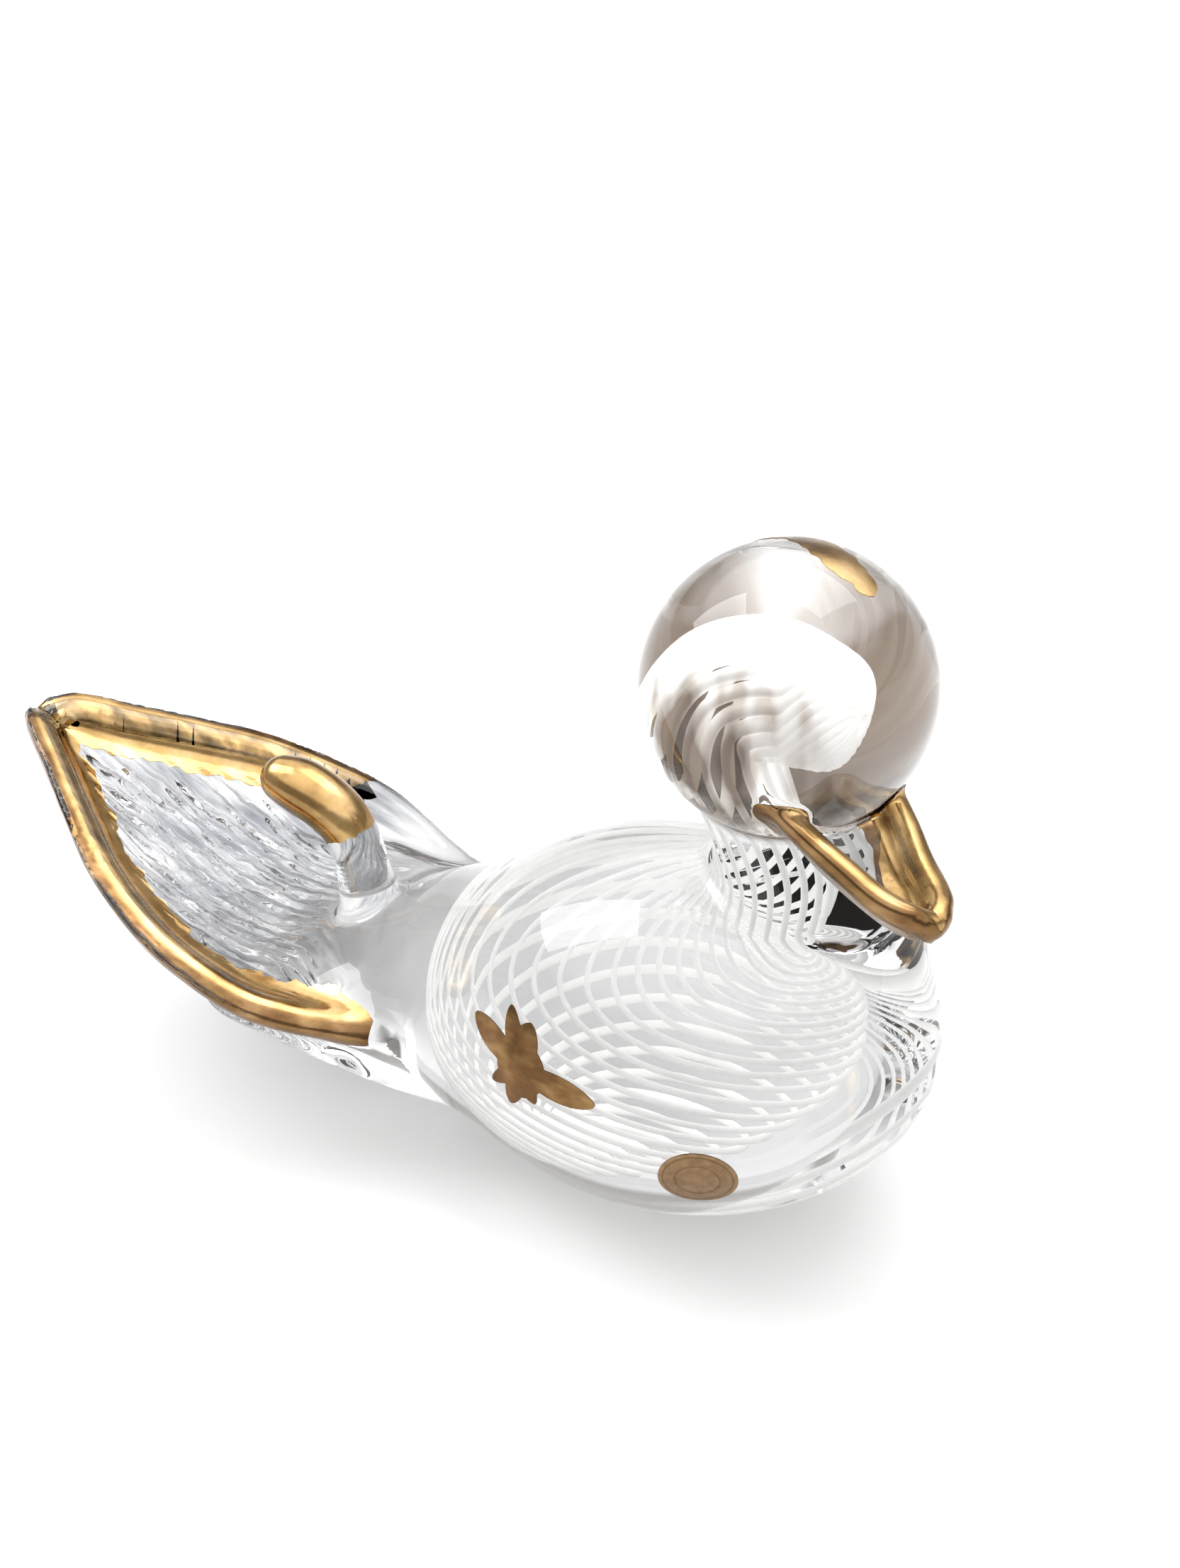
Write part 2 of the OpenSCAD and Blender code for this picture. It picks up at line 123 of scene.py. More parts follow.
# Tail blade: back from the root (share of its length), half width (share), rim, floor and keel heights
TAIL_ROWS = np.array([
    [0.02, 0.385, 7, 14, -6],
    [-0.08, 0.415, 7.2, 12, -8],
    [-0.17, 0.455, 8.6, 11, -8],
    [-0.255, 0.49, 11.4, 9.5, -6],
    [-0.35, 0.50, 15.8, 9.5, -1],
    [-0.46, 0.475, 20, 12.5, 6],
    [-0.60, 0.40, 26, 18.5, 13],
    [-0.73, 0.285, 31.2, 25, 20],
    [-0.85, 0.17, 35.8, 31.5, 27],
    [-0.94, 0.085, 39.2, 37, 32.2],
    [-0.99, 0.02, 38.4, 37.6, 35]])
# Tail root: back from the root, centre height, half height, half width
ROOT_ROWS = np.array([
    [0.25, 4.5, 24.5, 25.0],
    [0.14, 3.5, 23.0, 24.2],
    [0.02, 2.0, 21.0, 24.2],
    [-0.08, 0.5, 18.0, 24.0],
    [-0.17, 0.0, 14.0, 24.5],
    [-0.26, 1.5, 9.0, 26.0],
    [-0.36, 4.0, 4.5, 27.0],
    [-0.44, 8.0, 1.0, 24.0]])
# Curl: back, up, share of its radius
CURL_ROWS = np.array([
    [-0.165, 8, 1.45],
    [-0.17, 14, 1.2],
    [-0.18, 20, 1.0],
    [-0.19, 26, 0.92],
    [-0.215, 31, 0.96],
    [-0.26, 34.5, 1.0],
    [-0.31, 36.5, 1.0],
    [-0.35, 37.4, 0.86]])
# Bill in the head's own frame: forward, half width, rim, floor and keel heights
BILL_ROWS = np.array([
    [0.20 * BILL_REACH, 0.46 * BILL_W, -9.0, -11.0, -16.5],
    [0.38 * BILL_REACH, 0.49 * BILL_W, -10.4, -13.8, -18.6],
    [0.56 * BILL_REACH, 0.42 * BILL_W, -12.6, -16.0, -20.4],
    [0.73 * BILL_REACH, 0.32 * BILL_W, -14.8, -17.4, -21.4],
    [0.87 * BILL_REACH, 0.25 * BILL_W, -16.2, -17.9, -21.5],
    [0.96 * BILL_REACH, 0.16 * BILL_W, -16.8, -17.8, -20.8],
    [1.00 * BILL_REACH, 0.05 * BILL_W, -17.6, -17.8, -19.6]])


# ---------------------------------------------------------------- curves and frames
def curve(rows, t):
    """Catmull-Rom curve through rows at positions t, counted in rows."""
    t = np.asarray(t, float)
    i = np.clip(np.floor(t).astype(int), 0, len(rows) - 2)
    u = (t - i)[..., None]
    a, b, c, d = (rows[np.clip(i + k, 0, len(rows) - 1)] for k in (-1, 0, 1, 2))
    return 0.5 * (2 * b + (c - a) * u + (2 * a - 5 * b + 4 * c - d) * u ** 2
                  + (3 * b - a - 3 * c + d) * u ** 3)


def unit(v):
    """Vectors scaled to length 1."""
    return v / np.maximum(np.linalg.norm(v, axis=-1, keepdims=True), 1e-12)


def turned(yaw, roll):
    """Rotation about the head's own x axis, then about the vertical."""
    c, s = math.cos(yaw), math.sin(yaw)
    about_z = np.array([[c, -s, 0], [s, c, 0], [0, 0, 1]])
    c, s = math.cos(roll), math.sin(roll)
    about_x = np.array([[1, 0, 0], [0, c, -s], [0, s, c]])
    return about_z @ about_x


HEAD_TURN = turned(HEAD_YAW, HEAD_ROLL)
BODY_TURN = np.array([[math.cos(BODY_TILT), 0, -math.sin(BODY_TILT)], [0, 1, 0],
                      [math.sin(BODY_TILT), 0, math.cos(BODY_TILT)]])


def neck_path(t):
    """Centre and radius of the neck's clear glass at positions t."""
    r = curve(NECK_ROWS, t)
    return np.stack([BODY[0] + r[..., 0], 0 * r[..., 0], BODY[2] + r[..., 1]], -1), r[..., 2]


def on_core(t, phi, extra):
    """Points on the core's surface, grown by extra; phi is 0 in front and turns to the left side."""
    r = curve(CORE_ROWS, t)
    lean = np.radians(r[..., 4])
    ahead = np.stack([np.cos(lean), 0 * lean, np.sin(lean)], -1)
    centre = np.stack([BODY[0] + r[..., 0], 0 * lean, BODY[2] + r[..., 1]], -1)
    long, wide = (np.maximum(r[..., k] + extra, 0.05)[..., None] for k in (2, 3))
    return centre + long * np.cos(phi)[..., None] * ahead + wide * np.sin(phi)[..., None] * [0.0, 1.0, 0.0]


# ---------------------------------------------------------------- the glass as a distance field
def smooth_min(a, b, k):
    """The smaller of two distances, with the corner between them filled over a width k."""
    h = np.maximum(k - np.abs(a - b), 0) / k
    return np.minimum(a, b) - h * h * k / 4


def smooth_max(a, b, k):
    return -smooth_min(-a, -b, k)


def egg_field(p):
    """The body: an egg longer than wide, tilted up at the front."""
    q = (p - BODY) @ BODY_TURN
    size = np.array([BODY_A, BODY_B, BODY_B])
    k0 = np.linalg.norm(q / size, axis=1)
    k1 = np.linalg.norm(q / size ** 2, axis=1)
    return k0 * (k0 - 1) / np.maximum(k1, 1e-9)


def rod_field(p, centres, radii):
    """Distance to the envelope of spheres along a path, with the nearest place found between samples."""
    out = np.empty(len(p))
    for start in range(0, len(p), 60000):
        q = p[start:start + 60000]
        f = np.linalg.norm(q[:, None] - centres[None], axis=2) - radii[None]
        i = np.clip(f.argmin(axis=1), 1, len(radii) - 2)
        j = np.arange(len(q))
        before, here, after = f[j, i - 1], f[j, i], f[j, i + 1]
        bend = np.maximum(after - 2 * here + before, 1e-9)
        step = np.clip((before - after) / (2 * bend), -1, 1)
        out[start:start + 60000] = here + (after - before) / 2 * step + bend / 2 * step ** 2
    return out


def by_x(rows, x, scale, shift):
    """Columns of rows interpolated smoothly at x; the rows run along x."""
    dense = curve(rows, np.linspace(0, len(rows) - 1, 200))
    place = dense[:, 0] * scale + shift
    order = np.argsort(place)
    return [np.interp(x, place[order], dense[order, k]) for k in range(1, rows.shape[1])]


def dish_field(x, y, z, half, rim, floor, keel, sharp):
    """A boat-shaped dish: concave floor above, rounded keel below, meeting at the rims."""
    v = y / half
    top = floor + (rim - floor) * v ** 2
    low = keel + (rim - keel) * v ** 2
    slope_top = 2 * (rim - floor) * v / half
    slope_low = 2 * (rim - keel) * v / half
    above = (z - top) / np.sqrt(1 + slope_top ** 2)
    below = (low - z) / np.sqrt(1 + slope_low ** 2)
    return smooth_max(above, below, sharp)


RIM_T = np.linspace(0.2, len(TAIL_ROWS) - 1, 90)


def rim_radius(t):
    """Radius of the rod along the tail's rim, thinner at the root."""
    return RIM_R * np.clip(0.8 + 0.2 * (t - RIM_T[0]) / 2, 0.8, 1)


def rim_points(t):
    """Centre of the rod along the left rim of the tail."""
    r = curve(TAIL_ROWS, t)
    return np.stack([TAIL_ROOT[0] + TAIL_L * r[:, 0], np.maximum(TAIL_W * r[:, 1] - 0.3 * RIM_R, 0),
                     TAIL_ROOT[2] + r[:, 2]], 1)


def tail_field(p):
    """The tail: a ribbed dish with a rod along its rims, and the thick root that joins the body."""
    x, y, z = p.T
    half, rim, floor, keel = by_x(TAIL_ROWS, x, TAIL_L, TAIL_ROOT[0])
    half = half * TAIL_W
    zz = z - TAIL_ROOT[2]
    dish = dish_field(x, y, zz, half, rim, floor, keel, 1.0)
    tip_x = TAIL_ROOT[0] + TAIL_L * TAIL_ROWS[-1, 0]
    dish = np.maximum(dish, np.maximum(tip_x - x, x - TAIL_ROOT[0] - TAIL_L * TAIL_ROWS[0, 0]))
    rod = rod_field(np.stack([x, np.abs(y), z], 1), rim_points(RIM_T), rim_radius(RIM_T))
    start = np.clip((TAIL_ROOT[0] - RIB_START * TAIL_L - x) / RIB_FADE, 0, 1)
    reach = start * np.clip((rod - RIB_RIM_GAP) / 5, 0.02, 1)
    sway = 0.6 * np.sin(0.13 * x + 0.9 * np.sin(0.31 * y)) + 0.35 * np.sin(0.41 * x + 0.7 * y)
    ribs = np.cos(2 * math.pi * (y + sway) / RIB_PITCH)
    ribs = ribs + 0.5 * np.sin(1.1 * x + 0.6 * y) * np.sin(0.5 * x - 1.3 * y)
    ribs = RIB_H * ribs * reach
    blade = smooth_min(dish + ribs, rod, 4.0)
    centre, high, wide = by_x(ROOT_ROWS, x, TAIL_L, TAIL_ROOT[0])
    q = np.sqrt((y / wide) ** 2 + ((zz - centre) / high) ** 2)
    g = np.sqrt((y / wide ** 2) ** 2 + ((zz - centre) / high ** 2) ** 2)
    root = q * (q - 1) / np.maximum(g, 1e-6)
    ends = TAIL_ROOT[0] + TAIL_L * ROOT_ROWS[[-1, 0], 0]
    root = smooth_max(root, np.maximum(ends[0] - x, x - ends[1]), 2.0)
    return smooth_min(blade, root, 6.0)


CURL_T = np.linspace(0, len(CURL_ROWS) - 1, 50)


def curl_path(t):
    """Centre and radius of the curl that stands on the tail's root."""
    r = curve(CURL_ROWS, t)
    centre = np.stack([TAIL_ROOT[0] + TAIL_L * r[..., 0], 0 * r[..., 0], TAIL_ROOT[2] + r[..., 1]], -1)
    return centre, CURL_R * r[..., 2]


BILL_T = np.linspace(0, len(BILL_ROWS) - 1, 50)


def bill_rim(t):
    """Centre and radius of the rod along the left rim of the bill, in the head's own frame."""
    r = curve(BILL_ROWS, t)
    return np.stack([r[:, 0], np.maximum(r[:, 1] - 1.0, 0), r[:, 2]], 1), BILL_ROD + 0.25 * t / BILL_T[-1]


def bill_field(p):
    """The bill: an open spoon with a rounded rim."""
    q = (p - HEAD) @ HEAD_TURN
    x, y, z = q.T
    half, rim, floor, keel = by_x(BILL_ROWS, x, 1.0, 0.0)
    dish = dish_field(x, y, z, half, rim, floor, keel, 1.5)
    dish = np.maximum(dish, x - BILL_ROWS[-1, 0] - 0.4)
    dish = np.maximum(dish, BILL_ROWS[0, 0] - x)
    rod = rod_field(np.stack([x, np.abs(y), z], 1), *bill_rim(BILL_T))
    return smooth_min(dish, rod, 2.5)


NECK_T = np.linspace(NECK_SHARE, len(NECK_ROWS) - 1, 70)
# Fillets where the gathers of glass meet
FILLET_BODY, FILLET_CURL, FILLET_BILL, FILLET_HEAD, FILLET_FLOOR = 5.0, 2.5, 1.4, 1.5, 0.6


def glass_field(p):
    """Less than 0 inside the fused glass, more than 0 outside, in millimetres near the surface."""
    egg = egg_field(p)
    neck = rod_field(p, *neck_path(NECK_T))
    body = smooth_min(egg, neck, FILLET_BODY)
    body = smooth_min(body, tail_field(p), FILLET_BODY)
    body = smooth_min(body, rod_field(p, *curl_path(CURL_T)), FILLET_CURL)
    head = np.linalg.norm(p - HEAD, axis=1) - HEAD_R
    face = smooth_min(head, bill_field(p), FILLET_BILL)
    whole = smooth_min(body, face, FILLET_HEAD)
    return smooth_max(whole, -p[:, 2], FILLET_FLOOR)


def gradient(field, p, h=0.02):
    """Slope of the field at points, by central differences."""
    steps = np.eye(3) * h
    return np.stack([(field(p + s) - field(p - s)) / (2 * h) for s in steps], 1)


def settle(field, p, rounds=3):
    """Move points onto the surface of the field, and return them with their normals."""
    for _ in range(rounds):
        g = gradient(field, p)
        size = np.maximum((g * g).sum(1), 0.05)
        p = p - (np.clip(field(p), -1.5, 1.5) / size)[:, None] * g
    return p, unit(gradient(field, p))


# ---------------------------------------------------------------- meshing
CORNERS = [(a, b, c) for a in (0, 1) for b in (0, 1) for c in (0, 1)]


def surface_net(field, low, high, coarse, times):
    """Quads on the zero surface: sampled finely only in the coarse cells that the surface crosses."""
    counts = np.ceil((high - low) / coarse).astype(int)
    axes = [low[k] + coarse * np.arange(counts[k] + 1) for k in range(3)]
    grid = np.stack(np.meshgrid(*axes, indexing="ij"), -1)
    rough = field(grid.reshape(-1, 3)).reshape(grid.shape[:3])
    fine = coarse / times
    shape = counts * times + 1
    near = np.abs(rough) < coarse * 1.6
    cell = np.zeros(counts, bool)
    for a, b, c in CORNERS:
        cell |= near[a:counts[0] + a, b:counts[1] + b, c:counts[2] + c]
    wanted = np.zeros(shape, bool)
    block = np.repeat(np.repeat(np.repeat(cell, times, 0), times, 1), times, 2)
    for a, b, c in CORNERS:
        wanted[a:shape[0] - 1 + a, b:shape[1] - 1 + b, c:shape[2] - 1 + c] |= block
    index = [np.minimum((np.arange(n) + times // 2) // times, counts[k]) for k, n in enumerate(shape)]
    value = rough[np.ix_(*index)].copy()
    spots = np.argwhere(wanted)
    value[wanted] = field(low + fine * spots)
    inside = value < 0
    size = np.array(shape) - 1
    corner = [inside[a:size[0] + a, b:size[1] + b, c:size[2] + c] for a, b, c in CORNERS]
    count = sum(c.astype(np.int8) for c in corner)
    active = (count > 0) & (count < 8)
    number = -np.ones(active.shape, int)
    cells = np.argwhere(active)
    number[active] = np.arange(len(cells))
    total = np.zeros((len(cells), 3))
    hits = np.zeros(len(cells))
    for axis in range(3):
        for b in (0, 1):
            for c in (0, 1):
                offset = np.zeros(3, int)
                offset[(axis + 1) % 3], offset[(axis + 2) % 3] = b, c
                start = cells + offset
                end = start + np.eye(3, dtype=int)[axis]
                f0, f1 = value[tuple(start.T)], value[tuple(end.T)]
                cross = (f0 < 0) != (f1 < 0)
                share = np.where(cross, f0 / np.where(cross, f0 - f1, 1), 0)
                spot = start + share[:, None] * np.eye(3)[axis]
                total += np.where(cross[:, None], spot, 0)
                hits += cross
    points = low + fine * total / hits[:, None]
    quads = []
    for axis in range(3):
        one, two = (axis + 1) % 3, (axis + 2) % 3
        cut = [slice(1, None)] * 3
        cut[axis] = slice(None, -1)
        a = inside[tuple(slice(0, size[k]) for k in range(3))]
        ahead = [slice(0, size[k]) for k in range(3)]
        ahead[axis] = slice(1, size[axis] + 1)
        b = inside[tuple(ahead)]
        edge = a != b
        spots = np.argwhere(edge)
        spots = spots[(spots[:, one] > 0) & (spots[:, two] > 0)]
        e1, e2 = np.eye(3, dtype=int)[one], np.eye(3, dtype=int)[two]
        ring = [spots, spots - e1, spots - e1 - e2, spots - e2]
        quad = np.stack([number[tuple(r.T)] for r in ring], 1)
        flip = ~a[tuple(spots.T)]
        quad[flip] = quad[flip][:, ::-1]
        quads.append(quad)
    return points, np.concatenate(quads)


def make_mesh(name, points, faces, normals=None):
    """A smooth object from points in millimetres."""
    mesh = bpy.data.meshes.new(name)
    mesh.vertices.add(len(points))
    mesh.vertices.foreach_set("co", (np.asarray(points) * MM).ravel())
    sizes = np.array([len(f) for f in faces])
    mesh.loops.add(int(sizes.sum()))
    mesh.loops.foreach_set("vertex_index", np.concatenate([np.asarray(f) for f in faces]).astype(np.int32))
    mesh.polygons.add(len(faces))
    mesh.polygons.foreach_set("loop_start", np.concatenate([[0], np.cumsum(sizes)[:-1]]).astype(np.int32))
    mesh.update(calc_edges=True)
    mesh.validate()
    mesh.shade_smooth()
    if normals is not None:
        mesh.normals_split_custom_set_from_vertices(normals.tolist())
    piece = bpy.data.objects.new(name, mesh)
    bpy.context.scene.collection.objects.link(piece)
    return piece


def grid_faces(rows, columns, first=0, wrap=False):
    """Quads of a grid of points; wrap joins its last column to its first."""
    last = columns if wrap else columns - 1
    return [[first + i * columns + j, first + (i + 1) * columns + j,
             first + (i + 1) * columns + (j + 1) % columns, first + i * columns + (j + 1) % columns]
            for i in range(rows - 1) for j in range(last)]


def shell_faces(rows, columns, wrap):
    """Faces of a thin closed shell: an outer grid, then an inner one, joined round their edges."""
    count = rows * columns
    outer = grid_faces(rows, columns, 0, wrap)
    inner = [face[::-1] for face in grid_faces(rows, columns, count, wrap)]
    edge = [(j, (j + 1) % columns) for j in range(columns if wrap else columns - 1)]
    end = (rows - 1) * columns
    walls = [(a, b) for a, b in edge] + [(end + b, end + a) for a, b in edge]
    if not wrap:
        for i in range(rows - 1):
            walls.append(((i + 1) * columns, i * columns))
            walls.append((i * columns + columns - 1, (i + 1) * columns + columns - 1))
    return outer + inner + [[a, b, b + count, a + count] for a, b in walls]


def piece_of(piece, nodes, material):
    """Give a piece its material, hang it on the root body and hide the CAD parts that it stands for."""
    piece.data.materials.append(material)
    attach(piece, "root")
    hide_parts(*nodes)
    return piece


def film(name, grid, nodes, material, thick, wrap=False, out=GOLD_OUT, rounds=6):
    """A film on the glass through a grid of nearby points, with a painted light value per point: 0 where the
    lustre is painted in shade, brown, up to 1 where it is painted lit.
    """
    rows, columns = grid.shape[:2]
    base, normal = settle(glass_field, grid.reshape(-1, 3), rounds)
    raised = out[:, None] if isinstance(out, np.ndarray) else out
    points = np.concatenate([base + raised * normal, base - GOLD_IN * normal])
    faces = shell_faces(rows, columns, wrap)
    if np.einsum("ij,ij->i", face_normals(points, faces[:rows]), normal[:rows]).sum() < 0:
        faces = [face[::-1] for face in faces]
    piece = make_mesh(name, points, faces, np.concatenate([normal, -normal]))
    store = piece.data.attributes.new("thick", "FLOAT", "POINT")
    values = (np.zeros((rows, columns)) + thick).ravel()
    store.data.foreach_set("value", np.concatenate([values, values]).astype(np.float32))
    return piece_of(piece, nodes, material)


def face_normals(points, faces):
    """Unit normals of quads."""
    f = np.array([face[:4] for face in faces])
    return unit(np.cross(points[f[:, 2]] - points[f[:, 0]], points[f[:, 3]] - points[f[:, 1]]))


def wander(t, seed, size):
    """A smooth hand-drawn unevenness along t, the same on every run."""
    draw = np.random.default_rng(seed)
    waves = draw.uniform(-1, 1, 5) / np.arange(1, 6) ** 0.6
    shifts = draw.uniform(0, 2 * math.pi, 5)
    speeds = np.array([1.0, 2.3, 4.1, 7.7, 13.0])
    return size * sum(w * np.sin(s * t + h) for w, s, h in zip(waves, speeds, shifts))


# ---------------------------------------------------------------- materials
def new_material(name):
    """A material with its tree and its shader."""
    material = bpy.data.materials.new(name)
    material.use_nodes = True
    tree = material.node_tree
    return material, tree, tree.nodes["Principled BSDF"]


def node(tree, kind, **values):
    """A node with its properties, or its inputs, set."""
    made = tree.nodes.new(kind)
    for key, value in values.items():
        if hasattr(made, key):
            setattr(made, key, value)
        else:
            made.inputs[key.replace("_", " ")].default_value = value
    return made


def noise(tree, scale, detail=3.0, stretch=(1, 1, 1)):
    """Noise over the piece, scale in cells per metre."""
    place = node(tree, "ShaderNodeTexCoord")
    mapping = node(tree, "ShaderNodeMapping", Scale=stretch)
    tree.links.new(place.outputs["Object"], mapping.inputs["Vector"])
    made = node(tree, "ShaderNodeTexNoise", Scale=scale, Detail=detail)
    tree.links.new(mapping.outputs[0], made.inputs["Vector"])
    return made.outputs["Fac"]


def spread(tree, source, low, high, from_low=0.3, from_high=0.7):
    """The source's range stretched onto low to high."""
    made = node(tree, "ShaderNodeMapRange", From_Min=from_low, From_Max=from_high, To_Min=low, To_Max=high)
    tree.links.new(source, made.inputs["Value"])
    return made.outputs["Result"]


def blend_colours(tree, source, stops):
    """A colour ramp over the source."""
    ramp = node(tree, "ShaderNodeValToRGB")
    marks = ramp.color_ramp.elements
    while len(marks) < len(stops):
        marks.new(0.5)
    for mark, (place, colour) in zip(marks, stops):
        mark.position = place
        mark.color = (*colour, 1)
    tree.links.new(source, ramp.inputs["Fac"])
    return ramp.outputs["Color"]


def bump(tree, shader, source, strength, distance):
    made = node(tree, "ShaderNodeBump", Strength=strength, Distance=distance)
    tree.links.new(source, made.inputs["Height"])
    tree.links.new(made.outputs["Normal"], shader.inputs["Normal"])


def multiply(tree, one, other):
    """One colour times the other."""
    mix = node(tree, "ShaderNodeMix", data_type="RGBA", blend_type="MULTIPLY")
    mix.inputs["Factor"].default_value = 1.0
    tree.links.new(one, mix.inputs["A"])
    tree.links.new(other, mix.inputs["B"])
    return mix.outputs["Result"]


def choose(tree, share, one, other):
    """One colour where share is 0, the other where it is 1."""
    mix = node(tree, "ShaderNodeMix", data_type="RGBA")
    tree.links.new(share, mix.inputs["Factor"])
    tree.links.new(one, mix.inputs["A"])
    tree.links.new(other, mix.inputs["B"])
    return mix.outputs["Result"]


GLASS_IOR = 1.52


def glass_material():
    """Crystal: a clear body with a grey tint, painted reflections as brown swirls in the head ball, darker
    towards its bottom, and grey streaks in the tail, partly painted shade.
    """
    material, tree, shader = new_material("clear_crystal")
    shader.inputs["Transmission Weight"].default_value = 1.0
    shader.inputs["IOR"].default_value = GLASS_IOR
    place = node(tree, "ShaderNodeTexCoord")
    split = node(tree, "ShaderNodeSeparateXYZ")
    tree.links.new(place.outputs["Object"], split.inputs[0])
    body = blend_colours(tree, noise(tree, 25), [(0.3, (0.54, 0.545, 0.55)), (0.7, (0.68, 0.68, 0.68))])
    # streaky grey tint over the tail, partly painted shade standing for the grey seen through the blade
    streaks_and_shade = blend_colours(tree, noise(tree, 520, 3.0, (0.07, 1, 0.25)),
                            [(0.36, (0.28, 0.29, 0.31)), (0.5, (0.50, 0.51, 0.53)), (0.66, (1, 1, 1))])
    clouds_and_shade = blend_colours(tree, noise(tree, 45, 2.0),
                           [(0.35, (0.72, 0.73, 0.75)), (0.6, (1, 1, 1))])
    in_tail = spread(tree, split.outputs["X"], 0, 1, -0.056, -0.072)
    in_ball = node(tree, "ShaderNodeVectorMath", operation="DISTANCE")
    in_ball.inputs[1].default_value = HEAD * MM
    tree.links.new(place.outputs["Object"], in_ball.inputs[0])
    in_ball = spread(tree, in_ball.outputs["Value"], 0, 1, 1.06 * HEAD_R * MM, 1.01 * HEAD_R * MM)
    shade_by_height = 9.0  # how much lighter the painted reflections get per metre of height: painted shade, darker towards the bottom of the ball
    lower = node(tree, "ShaderNodeMath", operation="MULTIPLY_ADD")
    lower.inputs[1].default_value = shade_by_height
    lower.inputs[2].default_value = -shade_by_height * (HEAD[2] - 2) * MM
    tree.links.new(split.outputs["Z"], lower.inputs[0])
    # painted reflections: dark brown swirls in the head ball stand for the gold and the dark surroundings
    # refracted through it
    painted_reflections = node(tree, "ShaderNodeMath", operation="ADD")
    tree.links.new(noise(tree, 95, 2.5, (1, 1, 0.4)), painted_reflections.inputs[0])
    tree.links.new(lower.outputs[0], painted_reflections.inputs[1])
    ball = blend_colours(tree, painted_reflections.outputs[0],
                         [(0.40, (0.05, 0.03, 0.018)), (0.47, (0.34, 0.29, 0.25)),
                          (0.52, (0.8, 0.79, 0.78)), (0.60, (0.95, 0.95, 0.95))])
    tint = choose(tree, in_tail, body, multiply(tree, streaks_and_shade, clouds_and_shade))
    tint = choose(tree, in_ball, tint, ball)
    tree.links.new(tint, shader.inputs["Base Color"])
    tree.links.new(spread(tree, noise(tree, 90), 0.0, 0.012), shader.inputs["Roughness"])
    bump(tree, shader, noise(tree, 60, 1.0), 0.25, 0.0004)
    return material


def thread_material():
    """Opaque white glass of the canes, a little streaky, with a faint painted glow."""
    material, tree, shader = new_material("white_cane_glass")
    white = blend_colours(tree, noise(tree, 400), [(0.3, (0.94, 0.94, 0.93)), (0.7, (1.0, 1.0, 0.99))])
    tree.links.new(white, shader.inputs["Base Color"])
    # painted light: the canes glow faintly, standing in for light coming through the white glass
    tree.links.new(white, shader.inputs["Emission Color"])
    shader.inputs["Emission Strength"].default_value = 0.3
    tree.links.new(spread(tree, noise(tree, 300), 0.3, 0.5), shader.inputs["Roughness"])
    return material


def gold_material():
    """Fired gold lustre with painted light: lit gold where a point's painted light value is high, painted
    shade in brown where it is low, and slightly brushed.
    """
    material, tree, shader = new_material("gold_lustre")
    shader.inputs["Metallic"].default_value = 1.0
    grain = noise(tree, 140, 4.0)
    gold = blend_colours(tree, grain, [(0.3, (0.38, 0.23, 0.09)), (0.5, (0.57, 0.37, 0.15)),
                                       (0.72, (0.72, 0.50, 0.25))])
    # the same lustre in painted shade, brown
    brown = blend_colours(tree, grain, [(0.3, (0.09, 0.045, 0.018)), (0.5, (0.16, 0.083, 0.035)),
                                        (0.72, (0.26, 0.15, 0.07))])
    # painted light: each point's value picks between the lit gold and the painted shade brown, with noise for
    # unevenness
    thick = node(tree, "ShaderNodeAttribute", attribute_name="thick")
    light_and_unevenness = node(tree, "ShaderNodeMath", operation="ADD", use_clamp=True)
    tree.links.new(thick.outputs["Fac"], light_and_unevenness.inputs[0])
    tree.links.new(spread(tree, noise(tree, 420, 3.0, (0.3, 1, 1)), -0.22, 0.22), light_and_unevenness.inputs[1])
    tree.links.new(choose(tree, light_and_unevenness.outputs[0], brown, gold), shader.inputs["Base Color"])
    tree.links.new(spread(tree, noise(tree, 260, 5.0), 0.10, 0.30), shader.inputs["Roughness"])
    bump(tree, shader, noise(tree, 900, 3.0, (1, 1, 0.4)), 0.2, 0.0001)
    return material


def foil_material():
    """Brown-gold foil with two darker printed rings."""
    material, tree, shader = new_material("foil_sticker")
    shader.inputs["Metallic"].default_value = 1.0
    share = node(tree, "ShaderNodeAttribute", attribute_name="share")
    field, ring = (0.27, 0.17, 0.09), (0.16, 0.09, 0.04)
    rings = blend_colours(tree, share.outputs["Fac"],
                          [(0.0, field), (0.52, field), (0.56, ring), (0.60, field),
                           (0.84, field), (0.88, ring), (0.92, (0.30, 0.19, 0.10))])
    worn = blend_colours(tree, noise(tree, 800, 4.0), [(0.35, (0.75, 0.75, 0.75)), (0.65, (1, 1, 1))])
    tree.links.new(multiply(tree, rings, worn), shader.inputs["Base Color"])
    tree.links.new(spread(tree, noise(tree, 1200), 0.28, 0.45), shader.inputs["Roughness"])
    return material


CRYSTAL, THREAD, GOLD, FOIL = glass_material(), thread_material(), gold_material(), foil_material()


# ---------------------------------------------------------------- glass
GLASS_LOW = np.array([-133.0, -36.0, -1.5])
GLASS_HIGH = np.array([53.0, 36.0, 119.0])
GLASS_CELL = 2.1


def build_glass():
    """The whole fused glass as one skin."""
    points, quads = surface_net(glass_field, GLASS_LOW, GLASS_HIGH, GLASS_CELL, 3)
    points, normals = settle(glass_field, points, 2)
    piece = make_mesh("glass_body", points, quads, normals)
    piece_of(piece, ["casing", "core", "head_ball", "bill", "tail_fan", "tail_curl"], CRYSTAL)


build_glass()


